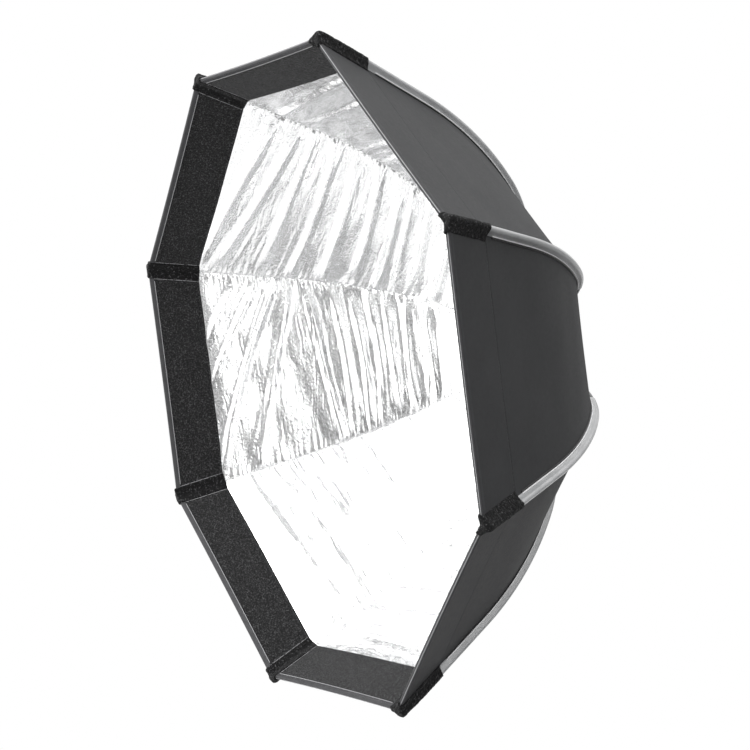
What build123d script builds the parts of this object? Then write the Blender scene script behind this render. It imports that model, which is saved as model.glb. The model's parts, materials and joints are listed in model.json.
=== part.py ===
from build123d import *
from math import acos, cos, degrees, radians, sin, tan
import os

# Eight-rib folding softbox, 650 mm across its corners, with a three-lug bayonet mount.
#
# Frame: +Z up. The optical axis is Y: the light leaves towards -Y and the mount is at +Y.
# The origin is the centre of the face that seats on the light, so the whole softbox is at Y < 0
# apart from the bayonet spigot. Depths are measured back from the plane of the front rim.
# Rib sub-parts are drawn on rib angle 0, where X is the radius, and turned about Y into place.

# Layout
rib_count = 8
rib_step = 360 / rib_count
first_rib_angle = rib_step / 2  # the flats are then at the top, bottom and sides
half_step = rib_step / 2
rim_radius = 325.0  # at the corners, on the fabric's outer face
seat_depth = 290.0  # front rim to the face that seats on the light

# Side outline of the fabric at a rib: a straight run, two arcs and a straight root.
# Slopes are angles from the optical axis.
rim_slope = 28.8
rim_run = 130.0
waist_radius, waist_slope = 367.0, 50.4
shoulder_radius, shoulder_slope = 152.0, 81.0

# Fabric and what is sewn to it
fabric_thickness = 1.5
seam_gap = 0.4
gore_root_radius = 92.0
outline_steps = 40  # spans that a panel's curved outline is drawn with
band_width = 52.0
band_thickness = 1.2
layer_gap = 0.2
pocket_length = 58.0
pocket_width = 18.0
pocket_wall = 1.8
sleeve_width, sleeve_height = 10.8, 7.6
sleeve_end_radius = 140.0

# Rods and their levers
rod_diameter = 4.8
rod_height = 4.1  # rod centre above the fabric
rod_tip_inset = 1.0
pivot_radius = 78.0
pivot_pin_diameter = 3.0
lever_thickness = 7.6
lever_boss_radius = 5.0
lever_front, lever_rear = 3.6, 4.6  # lever edges either side of the rod's centre line
lever_socket_end = 20.0
rod_root_gap = 6.0  # from the pivot to the root end of the rod
tail_length = 16.0
tail_tip_radius = 2.6
tail_width = 3.0
tail_angle = 65.0  # open position, from the forward direction towards the axis
fold_angle = 50.0

# Hub
bore_radius = 43.0
collar_radius = 48.0
collar_flange_radius, collar_flange_thickness = 57.0, 3.2
bayonet_flange_radius, bayonet_flange_thickness = 58.0, 5.0
spigot_radius, spigot_length = 46.2, 9.5
lug_radius, lug_thickness, lug_arc, lug_count = 49.2, 4.0, 38.0, 3
pivot_disc_thickness, pivot_disc_radius = 4.0, 74.0
ear_thickness, ear_gap = 3.0, 4.1
ear_root_radius = 67.5
hem_thickness, hem_slope = 1.0, 0.42
clamp_thickness, clamp_inner_radius, clamp_outer_radius = 3.0, 50.0, 66.0
hem_screw_circle = 58.0
runner_radius, runner_flange_radius, runner_floor_radius = 48.1, 65.2, 58.8
runner_flange = 3.0
groove_clearance = 0.3
stop_gap = 0.2  # runner to front ring when open
runner_grip_length, grip_lip = 5.6, 1.2
grip_radius, grip_groove_radius = 64.0, 59.0
flute_radius, flute_count = 2.2, 36
catch_count, catch_width = 2, 9.0
catch_length, catch_height = 11.5, 2.6
catch_seat_depth = 1.2
screw_radius, screw_head_radius, screw_head_height, screw_socket_radius = 1.5, 2.8, 2.0, 1.1
mount_screw_circle, mount_screw_count, mount_screw_bite = 52.8, 6, 3.5
fit_gap = 0.05
seat_gap = 0.02


def along(depth):
    """Y of a depth behind the front rim."""
    return depth - seat_depth


def heading(slope):
    """Direction along the outline, from the rim towards the hub."""
    return Vector(-sin(radians(slope)), cos(radians(slope)))


def outward(slope):
    """Direction square to the outline, out of the softbox."""
    return Vector(cos(radians(slope)), sin(radians(slope)))


def outline(height=0.0, start=0.0, root_radius=None):
    """The rib's side outline, moved out by height, from start along the rim run to root_radius."""
    rim = Vector(rim_radius, along(0)) + height * outward(rim_slope)
    run = Line(rim + start * heading(rim_slope), rim + rim_run * heading(rim_slope))
    waist = JernArc(run @ 1, run % 1, waist_radius + height, waist_slope - rim_slope)
    shoulder = JernArc(waist @ 1, waist % 1, shoulder_radius + height, shoulder_slope - waist_slope)
    end = (root_radius or pivot_radius) - (shoulder @ 1).X
    root = Line(shoulder @ 1, shoulder @ 1 + end * Vector(1, -1 / tan(radians(shoulder_slope))))
    return Curve() + [run, waist, shoulder, root]


rod_line = outline(rod_height)
pivot = rod_line @ 1
travel = 2 * tail_length * sin(radians(fold_angle / 2))
tail_tip = pivot + tail_length * Vector(-sin(radians(tail_angle)), -cos(radians(tail_angle)))

# Y positions along the hub, from the runner's groove outwards
groove_front = tail_tip.Y - tail_tip_radius - groove_clearance
groove_rear = tail_tip.Y + tail_tip_radius + groove_clearance
runner_front = groove_front - runner_flange
runner_rear = groove_rear + runner_flange + runner_grip_length
disc_rear = runner_front - stop_gap
disc_front = disc_rear - pivot_disc_thickness
hem_rear = disc_front - layer_gap
hem_front = hem_rear - hem_thickness
clamp_rear = hem_front - layer_gap
clamp_front = clamp_rear - clamp_thickness
mount_face = along(seat_depth)
mount_front = mount_face - bayonet_flange_thickness
collar_flange_front = mount_front - collar_flange_thickness


def ring(outer, inner, front, rear):
    """A flat ring about the optical axis between two Y positions."""
    tube = Cylinder(outer, rear - front) - Cylinder(inner, rear - front + 2)
    return Pos(0, (front + rear) / 2, 0) * Rot(90, 0, 0) * tube


def rod_about_y(radius, front, rear):
    """A cylinder along the optical axis between two Y positions."""
    return Pos(0, (front + rear) / 2, 0) * Rot(90, 0, 0) * Cylinder(radius, rear - front)


def turned(shape, angle):
    """A shape drawn at angle 0 (along +X), turned towards +Z about the optical axis."""
    return Rot(0, -angle, 0) * shape


def rib_angle(number):
    return first_rib_angle + (number - 1) * rib_step


def circle_of(shape, count, start=0.0):
    """Copies of a shape evenly round the optical axis."""
    return [turned(shape, start + 360 / count * i) for i in range(count)]


def plate(face, thickness):
    """A face in the rib's plane, thickened evenly to both sides."""
    return extrude(face, thickness / 2, both=True)


def panel_points(height, root_radius):
    """Points of the outline in the middle of a panel, where the radius is the rib's by cos(half_step)."""
    squeeze = cos(radians(half_step))
    curve = outline(height, 0.0, root_radius)
    points = [curve @ (i / outline_steps) for i in range(outline_steps + 1)]
    return [Vector(point.X * squeeze, point.Y) for point in points]


def between_ribs(shape, gap):
    """What of a shape lies between the two rib planes, less a gap beside each seam."""
    reach = 2 * rim_radius
    inset = gap / sin(radians(half_step))
    wedge = Polyline(
        (inset, 0),
        (inset + reach, reach * tan(radians(half_step))),
        (inset + reach, -reach * tan(radians(half_step))),
        close=True,
    )
    prism = extrude(Plane.XZ * make_face(wedge), 2 * seat_depth, both=True)
    return shape & prism


def make_gore():
    """One fabric panel: a thin curved sheet, straight across between its two ribs."""
    outer = panel_points(0.0, gore_root_radius)
    inner = panel_points(-fabric_thickness, gore_root_radius)
    edge = Curve() + [
        Spline(*outer),
        Line(outer[-1], inner[-1]),
        Spline(*reversed(inner)),
        Line(inner[0], outer[0]),
    ]
    return between_ribs(plate(make_face(edge), 2 * rim_radius), seam_gap)


def make_loop_band():
    """The strip of loop tape inside the front rim of one panel, on the panel's straight run."""
    squeeze = cos(radians(half_step))
    side = outward(rim_slope)
    top = Vector(rim_radius, along(0)) - (fabric_thickness + layer_gap) * side
    end = top + band_width * heading(rim_slope)
    corners = [top, end, end - band_thickness * side, top - band_thickness * side]
    flat = make_face(Polyline(*[(c.X * squeeze, c.Y) for c in corners], close=True))
    return between_ribs(plate(flat, 2 * rim_radius), seam_gap)


def make_rod():
    """A rib rod: straight at the tip, bent over the shoulder, straight into its lever."""
    path = outline(rod_height, rod_tip_inset, pivot_radius + rod_root_gap)
    section = Plane(origin=path @ 0, z_dir=path % 0) * Circle(rod_diameter / 2)
    return sweep(section, path=path)


def make_lever():
    """The rib's root block: pivot boss, socket for the rod, and the tail that the runner moves."""
    root = heading(shoulder_slope) * -1
    side = outward(shoulder_slope)
    socket = Polyline(
        pivot - lever_front * side,
        pivot + lever_socket_end * root - lever_front * side,
        pivot + lever_socket_end * root + lever_rear * side,
        pivot + lever_rear * side,
        close=True,
    )
    boss = Pos(pivot.X, pivot.Y) * Circle(lever_boss_radius)
    middle = (pivot + tail_tip) * 0.5
    lean = 90 - tail_angle
    neck = Pos(middle.X, middle.Y) * Rot(0, 0, lean) * Rectangle(tail_length, tail_width)
    tip = Pos(tail_tip.X, tail_tip.Y) * Circle(tail_tip_radius)
    body = plate(make_face(socket) + boss + neck + tip, lever_thickness)
    pin_hole = Pos(pivot.X, pivot.Y) * Cylinder(pivot_pin_diameter / 2 + fit_gap, 2 * lever_thickness)
    path = outline(rod_height, rim_run / 2, pivot_radius + rod_root_gap - fit_gap)
    section = Plane(origin=path @ 0, z_dir=path % 0) * Circle(rod_diameter / 2 + fit_gap)
    return body - pin_hole - sweep(section, path=path)


def make_sleeve():
    """The woven tunnel sewn over a rod, from the corner pocket to where the rod is bare."""
    run, waist, shoulder, _ = outline(rod_height, pocket_length + 1.0).edges()
    share = (slope_at(sleeve_end_radius) - waist_slope) / (shoulder_slope - waist_slope)
    path = Curve() + [run, waist, shoulder.trim(0, share)]
    start = Plane(origin=path @ 0, x_dir=(0, 0, 1), z_dir=path % 0)
    outer = sweep(start * Ellipse(sleeve_width / 2, sleeve_height / 2), path=path)
    inner = sweep(start * Circle(rod_diameter / 2 + 0.2), path=path)
    return outer - inner


def slope_at(radius):
    """The outline's slope where its shoulder arc comes down to a radius."""
    rim_end = rim_radius - rim_run * sin(radians(rim_slope))
    waist_end = rim_end - waist_radius * (cos(radians(rim_slope)) - cos(radians(waist_slope)))
    return degrees(acos(cos(radians(waist_slope)) - (waist_end - radius) / shoulder_radius))


def roof(peak, half_width, fall):
    """A line over the seam: highest on the rib, falling with the panels to both sides."""
    return [(-half_width, peak - fall), (0, peak), (half_width, peak - fall)]


def make_pocket():
    """The corner pocket: it wraps the rim at the rib's tip, over the rod outside and the band inside."""
    half = pocket_width / 2
    fall = half * tan(radians(half_step)) * cos(radians(rim_slope))
    top = rod_height + rod_diameter / 2 + pocket_wall
    under = -(fabric_thickness + band_thickness + 2 * layer_gap) - layer_gap
    start = Plane(
        origin=Vector(rim_radius, along(0)),
        x_dir=(0, 0, 1),
        z_dir=heading(rim_slope),
    )
    sign = 1 if start.y_dir.dot(outward(rim_slope)) > 0 else -1

    def section(points):
        return start * make_face(Polyline(*[(w, sign * h) for w, h in points], close=True))

    lower = roof(layer_gap, half, fall)
    upper = [(half, top - 3.4), (half - 3.6, top), (-half + 3.6, top), (-half, top - 3.4)]
    inner_top = roof(under, half, fall)
    inner_bottom = list(reversed(roof(under - pocket_wall, half, fall)))
    outer_leg = extrude(section(lower + upper), pocket_length)
    inner_leg = extrude(section(inner_top + inner_bottom), band_width)
    front_wall = extrude(section(inner_bottom[::-1] + upper), -pocket_wall - layer_gap)
    front_wall = front_wall - extrude(section(inner_bottom[::-1] + upper), -layer_gap)
    neck = extrude(section(inner_bottom[::-1] + upper), -layer_gap)
    gap_lower = roof(layer_gap, half + 1, fall * (half + 1) / half)
    gap_upper = list(reversed(roof(under, half + 1, fall * (half + 1) / half)))
    neck = neck - extrude(section(gap_lower + gap_upper), -layer_gap)
    path = outline(rod_height, -layer_gap, pivot_radius)
    bore_plane = Plane(origin=path @ 0, z_dir=path % 0)
    bore = extrude(bore_plane * Circle(rod_diameter / 2 + 0.2), pocket_length + 2)
    return outer_leg + inner_leg + front_wall + neck - bore


def make_collar():
    """The tube that carries the hub, with the shallow seats of the catch springs."""
    body = ring(collar_radius, bore_radius, clamp_front, mount_front)
    for cutter in circle_of(catch_seat(), catch_count):
        body = body - cutter
    return body


def make_collar_flange():
    """The flange on the rear end of the tube, which the mount ring is screwed to."""
    body = ring(collar_flange_radius, collar_radius + seat_gap, collar_flange_front, mount_front)
    shaft = rod_about_y(screw_radius + fit_gap, collar_flange_front - 1, mount_front + 1)
    hole = Pos(mount_screw_circle, 0, 0) * shaft
    for cutter in circle_of(hole, mount_screw_count):
        body = body - cutter
    return body


def catch_seat():
    """The shallow pocket in the collar's wall that a catch spring lies in."""
    length = catch_length + 2.0
    middle = runner_rear + catch_length / 2
    return Pos(collar_radius, middle, 0) * Box(2 * catch_seat_depth, length, catch_width + 0.6)


def make_catch():
    """A leaf catch: its root lies in the collar's wall and its nose stands up behind the runner."""
    base = collar_radius - catch_seat_depth + fit_gap
    top = collar_radius + catch_height
    nose = runner_rear + groove_clearance
    root = nose + catch_length
    leaf = Polyline(
        (base, root),
        (base + 0.5, root),
        (base + 0.6, root - 4.0),
        (top, nose + 0.6),
        (top, nose),
        (top - 0.6, nose),
        (base, root - 4.5),
        close=True,
    )
    return plate(make_face(leaf), catch_width)


def make_pivot_ring():
    """The front ring, with a pair of ears for each rib's pivot pin."""
    disc = ring(pivot_disc_radius, collar_radius + fit_gap, disc_front, disc_rear)
    ear = make_hull(
        [
            *Polyline(
                (ear_root_radius, disc_front),
                (ear_root_radius, disc_rear),
                (pivot_disc_radius, disc_front),
                close=True,
            ).edges(),
            *(Pos(pivot.X, pivot.Y) * Circle(lever_boss_radius)).edges(),
        ]
    )
    ear_face = make_face(ear)
    pin_hole = Pos(pivot.X, pivot.Y) * Cylinder(pivot_pin_diameter / 2 + seat_gap, 4 * pivot_radius)
    body = disc
    for number in range(1, rib_count + 1):
        for side in (-1, 1):
            shift = side * (ear_gap + ear_thickness / 2)
            one = Pos(0, 0, shift) * plate(ear_face, ear_thickness)
            body = body + turned(one - pin_hole, rib_angle(number))
    for cutter in circle_of(hem_screw_hole(), rib_count):
        body = body - cutter
    return body


def hem_screw_hole():
    """The cutter for one hem screw, through the clamp ring, the hem and the front ring."""
    return Pos(hem_screw_circle, 0, 0) * rod_about_y(screw_radius + fit_gap, clamp_front - 1, disc_rear + 1)


def make_pins():
    pin = Pos(pivot.X, pivot.Y) * Cylinder(pivot_pin_diameter / 2, 2 * (ear_gap + ear_thickness) + 1.2)
    return [turned(pin, rib_angle(number)) for number in range(1, rib_count + 1)]


def make_inner_hem():
    """The rear edge of the lining, drawn in over the front ring and held under the clamp ring."""
    inner = clamp_inner_radius + 0.5
    bend = pivot_disc_radius + 1.5
    outer = gore_root_radius * cos(radians(half_step)) - fabric_thickness
    rise = (outer - bend) * hem_slope
    profile = Polyline(
        (inner, hem_front),
        (bend, hem_front),
        (outer, hem_front + rise),
        (outer, hem_rear + rise),
        (bend, hem_rear),
        (inner, hem_rear),
        close=True,
    )
    body = revolve(make_face(profile), Axis.Y)
    for cutter in circle_of(hem_screw_hole(), rib_count):
        body = body - cutter
    return body


def make_clamp_ring():
    """The ring that holds the inner hem against the front ring."""
    body = ring(clamp_outer_radius, clamp_inner_radius, clamp_front, clamp_rear)
    rim = body.edges().filter_by(GeomType.CIRCLE).sort_by(Axis.Y)[:2]
    body = chamfer(rim, 0.8)
    for cutter in circle_of(hem_screw_hole(), rib_count):
        body = body - cutter
    return body


def screw(head_face, length):
    """A socket-head screw whose shank runs towards +Y from the Y position under its head."""
    top = head_face - screw_head_height
    head = rod_about_y(screw_head_radius, top, head_face)
    shank = rod_about_y(screw_radius, head_face, head_face + length)
    socket = rod_about_y(screw_socket_radius, top - 1.0, top + screw_head_height / 2)
    return head + shank - socket


def make_hem_screws():
    one = Pos(hem_screw_circle, 0, 0) * screw(clamp_front - seat_gap, disc_rear - clamp_front - 0.5)
    return circle_of(one, rib_count)


def make_mount_screws():
    length = collar_flange_thickness + mount_screw_bite
    one = Pos(mount_screw_circle, 0, 0) * screw(collar_flange_front - seat_gap, length)
    return circle_of(one, mount_screw_count)


def make_runner():
    """The sliding ring: a groove that holds all eight lever tails, and a seat for the grip."""
    grip_front = runner_rear - runner_grip_length
    beyond = runner_flange_radius + 5
    body = ring(runner_flange_radius, runner_radius, runner_front, runner_rear)
    body = body - ring(beyond, runner_floor_radius, groove_front, groove_rear)
    body = body - ring(beyond, grip_groove_radius, grip_front, runner_rear - grip_lip)
    body = body - ring(beyond, grip_radius - grip_lip, runner_rear - grip_lip, runner_rear + 1)
    return body


def make_runner_grip():
    """The rubber band on the runner, with finger flutes."""
    front, rear = runner_rear - runner_grip_length, runner_rear - grip_lip
    band = ring(grip_radius, grip_groove_radius, front, rear)
    flute = Pos(grip_radius + flute_radius / 2, 0, 0) * rod_about_y(flute_radius, front - 1, rear + 1)
    for cutter in circle_of(flute, flute_count):
        band = band - cutter
    return band


def make_bayonet_ring():
    """The mount: a flange that seats on the light and a spigot with three lugs."""
    lug_rear = mount_face + spigot_length
    flange = ring(bayonet_flange_radius, bore_radius, mount_front, mount_face)
    spigot = ring(spigot_radius, bore_radius, mount_face - 1, lug_rear)
    lug_ring = ring(lug_radius, bore_radius, lug_rear - lug_thickness, lug_rear)
    reach = 2 * lug_radius
    half = radians(lug_arc / 2)
    sector = Polyline((0, 0), (reach, reach * tan(half)), (reach, -reach * tan(half)), close=True)
    wedge = extrude(Plane.XZ * make_face(sector), 3 * spigot_length, both=True)
    body = flange + spigot
    for cutter in circle_of(wedge, lug_count, 90):
        body = body + (lug_ring & cutter)
    shaft = rod_about_y(screw_radius + fit_gap, mount_front - 1, mount_front + mount_screw_bite + 0.3)
    hole = Pos(mount_screw_circle, 0, 0) * shaft
    for cutter in circle_of(hole, mount_screw_count):
        body = body - cutter
    return body


def save(name, shape):
    """One STEP file for one node. A list is a group of separate solids."""
    solids = Compound(children=shape) if isinstance(shape, list) else shape
    export_step(solids, f"parts/{name}.step")


os.makedirs("parts", exist_ok=True)

rod = make_rod()
lever = make_lever()
sleeve = make_sleeve()
pocket = make_pocket()
gore = make_gore()
loop_band = make_loop_band()

for number in range(1, rib_count + 1):
    save(f"rib_rod_{number}", turned(rod, rib_angle(number)))
    save(f"rib_lever_{number}", turned(lever, rib_angle(number)))
    save(f"rib_sleeve_{number}", turned(sleeve, rib_angle(number)))
    save(f"corner_pocket_{number}", turned(pocket, rib_angle(number)))
    save(f"gore_{number}", turned(gore, rib_angle(number) + half_step))
    save(f"loop_band_{number}", turned(loop_band, rib_angle(number) + half_step))

save("collar", make_collar())
save("collar_flange", make_collar_flange())
save("pivot_ring", make_pivot_ring())
save("rib_pivot_pins", make_pins())
save("inner_hem", make_inner_hem())
save("hem_clamp_ring", make_clamp_ring())
save("hem_clamp_screws", make_hem_screws())
save("runner", make_runner())
save("runner_grip", make_runner_grip())
save("catch_springs", circle_of(make_catch(), catch_count))
save("bayonet_ring", make_bayonet_ring())
save("mount_screws", make_mount_screws())

print("pivot radius and Y", round(pivot.X, 3), round(pivot.Y, 3))
print("runner travel", round(travel, 3), "front", round(runner_front, 2), "rear", round(runner_rear, 2))
print("front ring", round(disc_front, 2), round(disc_rear, 2), "clamp front", round(clamp_front, 2))
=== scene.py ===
import json
from math import acos, atan2, cos, pi, radians, sin, sqrt, tan

import bmesh
import bpy
import numpy as np
from mathutils import Matrix, Vector, noise


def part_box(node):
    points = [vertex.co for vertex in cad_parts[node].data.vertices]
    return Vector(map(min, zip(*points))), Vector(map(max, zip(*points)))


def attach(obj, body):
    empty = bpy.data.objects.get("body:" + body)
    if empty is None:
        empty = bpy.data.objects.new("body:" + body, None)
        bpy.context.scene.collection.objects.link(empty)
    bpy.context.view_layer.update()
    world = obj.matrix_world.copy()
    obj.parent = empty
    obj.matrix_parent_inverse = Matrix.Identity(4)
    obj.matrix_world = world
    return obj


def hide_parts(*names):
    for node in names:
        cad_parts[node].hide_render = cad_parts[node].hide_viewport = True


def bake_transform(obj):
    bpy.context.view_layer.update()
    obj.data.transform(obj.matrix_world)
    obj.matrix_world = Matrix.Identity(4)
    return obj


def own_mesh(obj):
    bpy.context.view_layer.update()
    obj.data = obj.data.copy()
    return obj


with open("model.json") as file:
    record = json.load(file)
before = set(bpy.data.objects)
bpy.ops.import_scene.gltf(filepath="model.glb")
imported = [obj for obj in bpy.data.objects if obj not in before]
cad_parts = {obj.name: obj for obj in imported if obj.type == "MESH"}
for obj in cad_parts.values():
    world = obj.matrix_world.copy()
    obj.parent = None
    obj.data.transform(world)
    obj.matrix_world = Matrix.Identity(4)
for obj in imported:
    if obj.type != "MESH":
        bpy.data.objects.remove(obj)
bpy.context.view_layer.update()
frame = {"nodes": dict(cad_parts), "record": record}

# ---- sizes
# Lengths are in metres and angles in radians. s is a length along the cloth's outline, back from
# the front rim. v runs across a panel, from -1 at one rib to 1 at the next, and lift is outward.

rib_count = 8
rib_step = 2 * pi / rib_count
half_step = rib_step / 2
ribs = range(1, rib_count + 1)

gore_thickness = 0.0015
rim_slope = radians(28.8)
rim_run = 0.130
waist_radius, waist_slope = 0.367, radians(50.4)
shoulder_radius, shoulder_slope = 0.152, radians(81.0)
root_radius = 0.092

rim_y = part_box("gore_8")[0].y + gore_thickness * sin(rim_slope)
rim_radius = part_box("gore_8")[1].x / cos(half_step)
waist_end = rim_run + waist_radius * (waist_slope - rim_slope)
shoulder_end = waist_end + shoulder_radius * (shoulder_slope - waist_slope)

rim_bow = 0.0012  # how far the cloth is drawn in between two ribs at the rim
rim_edge = 0.0006  # where the cloth begins behind the rim
lining_lift = -0.0015
lining_thickness = 0.00025
tape_lift = lining_lift - lining_thickness - 0.0001  # where the tape lies on the lining
cloth_thickness = 0.0004
band_width, band_thickness = 0.052, 0.0012
rim_layers = band_thickness - tape_lift
facing_seam = 0.057  # the stitched line outside, behind the rim
pocket_length = 0.058

rod_height = 0.0041
rod_radius = 0.0024
sleeve_start = 0.0592
sleeve_end_radius = 0.140

cloth_keep = 0.34  # how flat the cloth beside a rib is meant to become as the ribs close; on_rib doesn't flatten it
lining_keep = 0.16  # the same for the lining and its tape, which lie further in


def rib_angle(rib):
    return half_step + (rib - 1) * rib_step


def smooth(value, low, high):
    """0 below low, 1 above high, and a smooth step between."""
    t = np.clip((value - low) / (high - low), 0, 1)
    return t * t * (3 - 2 * t)


def outline(s):
    """Radius, Y and slope of the cloth's outer face in a rib's plane, a length s behind the rim."""
    s = np.asarray(s, float)
    run = np.minimum(s, rim_run)
    waist = rim_slope + np.clip((s - rim_run) / waist_radius, 0, waist_slope - rim_slope)
    shoulder = waist_slope + np.clip((s - waist_end) / shoulder_radius, 0, shoulder_slope - waist_slope)
    root = np.maximum(s - shoulder_end, 0)
    y = rim_y + run * cos(rim_slope) + root * cos(shoulder_slope)
    y = y + waist_radius * (np.sin(waist) - sin(rim_slope))
    y = y + shoulder_radius * (np.sin(shoulder) - sin(waist_slope))
    radius = rim_radius - run * sin(rim_slope) - root * sin(shoulder_slope)
    radius = radius - waist_radius * (cos(rim_slope) - np.cos(waist))
    radius = radius - shoulder_radius * (cos(waist_slope) - np.cos(shoulder))
    return radius, y, waist + shoulder - waist_slope


def half_width(s):
    """Half of a panel's width, a length s behind the rim."""
    return outline(s)[0] * sin(half_step)


root_s = shoulder_end + float(outline(shoulder_end)[0] - root_radius) / sin(shoulder_slope)


# Where the outline's shoulder arc comes down to the radius at which the tunnels end.
sleeve_fall = float(outline(waist_end)[0]) - sleeve_end_radius
sleeve_turn = acos(cos(waist_slope) - sleeve_fall / shoulder_radius) - waist_slope
sleeve_end = waist_end + shoulder_radius * sleeve_turn


def about_axis(radius, y, angle):
    """Points at a radius and angle round the optical axis, from +X towards +Z."""
    radius, y, angle = np.broadcast_arrays(radius, y, angle)
    return np.stack([radius * np.cos(angle), y, radius * np.sin(angle)], -1)


def turned(reach, y, aside, angle):
    """Points at a reach from the optical axis and aside of it, turned from +X towards +Z."""
    x = reach * cos(angle) - aside * sin(angle)
    z = reach * sin(angle) + aside * cos(angle)
    return np.stack(np.broadcast_arrays(x, y, z), -1)


def panel_point(panel, s, v, lift):
    """A point on a panel. Its edges, at v of -1 and 1, lie in the planes of the two ribs."""
    radius, y, slope = outline(s)
    lean = np.arctan2(np.sin(slope), np.cos(slope) / cos(half_step))
    flat = radius * cos(half_step) + lift * np.cos(lean)
    bow = rim_bow * (1 - v * v)
    across = flat * tan(half_step) * v
    return turned(flat - bow, y + lift * np.sin(lean), across, panel * rib_step)


def rib_point(rib, s, aside, height):
    """A point beside a rib: aside towards the next rib, and height out from the cloth."""
    radius, y, slope = outline(s)
    return turned(radius + height * np.cos(slope), y + height * np.sin(slope), aside, rib_angle(rib))


# ---- meshes


def unit(vectors):
    """Vectors brought to a length of 1."""
    return vectors / np.linalg.norm(vectors, axis=-1, keepdims=True)


def grid_faces(rows, columns, start=0, flip=False):
    i, j = np.meshgrid(np.arange(rows - 1), np.arange(columns - 1), indexing="ij")
    a = start + i * columns + j
    faces = np.stack([a, a + 1, a + columns + 1, a + columns], -1).reshape(-1, 4)
    return faces[:, ::-1] if flip else faces


def grid_normals(points):
    """Unit normals of a grid of points, from its rows and columns."""
    return unit(np.cross(np.gradient(points, axis=1), np.gradient(points, axis=0)))


def placed(name, data):
    """An object that shows the data, put in the scene."""
    made = bpy.data.objects.new(name, data)
    bpy.context.scene.collection.objects.link(made)
    return made


def new_piece(name, points, faces, material, uv=None, loop_normals=None, sharp=40):
    """A mesh object from arrays of points and faces, smooth but for edges over sharp degrees."""
    mesh = bpy.data.meshes.new(name)
    faces = faces.tolist() if isinstance(faces, np.ndarray) else faces
    mesh.from_pydata(np.asarray(points).reshape(-1, 3).tolist(), [], faces)
    mesh.polygons.foreach_set("use_smooth", [True] * len(mesh.polygons))
    if uv is not None:
        layer = mesh.uv_layers.new(name="cloth")
        corner = np.zeros(len(mesh.loops), int)
        mesh.loops.foreach_get("vertex_index", corner)
        layer.data.foreach_set("uv", np.asarray(uv).reshape(-1, 2)[corner].ravel())
    if loop_normals is not None:
        mesh.normals_split_custom_set(loop_normals.tolist())
    else:
        mesh.set_sharp_from_angle(angle=radians(sharp))
    mesh.materials.append(material)
    mesh.validate()
    return placed(name, mesh)


def half_panels(rib, across):
    """The two halves of cloth beside a rib: (panel, its v at each column) for each half."""
    before = (rib - 1) or rib_count
    return [(before, 1 - across), (rib, across - 1)]


def border_faces(rows, columns):
    """The faces that join the borders of two grids of points, the second right after the first."""
    border = [*range(columns), *(i * columns + columns - 1 for i in range(1, rows))]
    border += [(rows - 1) * columns + j for j in range(columns - 2, -1, -1)]
    border += [i * columns for i in range(rows - 2, 0, -1)]
    border = np.array(border)
    following = np.roll(border, -1)
    size = rows * columns
    return np.stack([following, border, border + size, following + size], -1)


def sheet_faces(rows, columns):
    """The faces of a closed sheet: those of its two grids, then its border."""
    back = grid_faces(rows, columns, rows * columns, flip=True)
    return np.concatenate([grid_faces(rows, columns), back, border_faces(rows, columns)])


def sheet_side(rib, stations, across, lift):
    """One face of a sheet: its points, its normals on each half, and its cloth coordinates."""
    count = len(across)
    wider = np.append(across, across[-1] + (across[-1] - across[-2]))
    points, normals, uvs = [], [], []
    for panel, v in half_panels(rib, wider):
        s, v = np.meshgrid(stations, v, indexing="ij")
        half = panel_point(panel, s, v, lift(panel, s, v))
        points.append(half[:, :count])
        normals.append(grid_normals(half)[:, :count])
        uvs.append(np.stack([v * half_width(s) + panel, s], -1)[:, :count])
    points, uvs = (np.concatenate([left[:, :0:-1], right], 1) for left, right in (points, uvs))
    return points, (normals[0][:, ::-1], normals[1]), uvs


def corner_normals(points, faces, sides):
    """A normal for each corner of a sheet's faces, from the normals of each side's two halves."""
    corners = []
    for halves, order in zip(sides, (1, -1)):
        quads = [np.stack([n[:-1, :-1], n[:-1, 1:], n[1:, 1:], n[1:, :-1]], 2) for n in halves]
        corners.append(np.concatenate(quads, 1).reshape(-1, 4, 3)[:, ::order])
    a, b, _, d = np.moveaxis(points[faces[2 * len(corners[0]) :]], 1, 0)
    edge = np.cross(b - a, d - a)
    edge /= np.maximum(np.linalg.norm(edge, axis=1, keepdims=True), 1e-12)
    normals = np.concatenate([*corners, np.repeat(edge[:, None], 4, 1)])
    # Point every face's normals to the side that its corners turn about.
    p = points[faces]
    turning = np.cross(p[:, 2] - p[:, 0], p[:, 3] - p[:, 1])
    normals[np.einsum("fk,fck->f", turning, normals) < 0] *= -1
    return normals.reshape(-1, 3)


def rib_sheet(name, rib, stations, across, outer, inner, material):
    """A thin closed sheet over half of each panel beside a rib, with faces at two lifts.

    across runs from 0 at the rib to 1 at the middle of a panel. Sheets that meet look like one.
    """
    points, normals, uvs = zip(*(sheet_side(rib, stations, across, lift) for lift in (outer, inner)))
    rows, columns = points[0].shape[:2]
    points = np.concatenate(points).reshape(-1, 3)
    faces = sheet_faces(rows, columns)
    corners = corner_normals(points, faces, normals)
    return new_piece(name, points, faces, material, np.concatenate(uvs).reshape(-1, 2), corners)


def loft(rings, cap=True):
    """Points and faces of a tube through rings of points, with flat ends."""
    rings = np.asarray(rings)
    rows, count = rings.shape[:2]
    start, j = np.meshgrid(np.arange(rows - 1) * count, np.arange(count), indexing="ij")
    a, b = start + j, start + (j + 1) % count
    faces = np.stack([a, b, b + count, a + count], -1).reshape(-1, 4).tolist()
    if cap:
        faces.append(list(range(count))[::-1])
        faces.append(list(range((rows - 1) * count, rows * count)))
    return rings.reshape(-1, 3), faces


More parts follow.
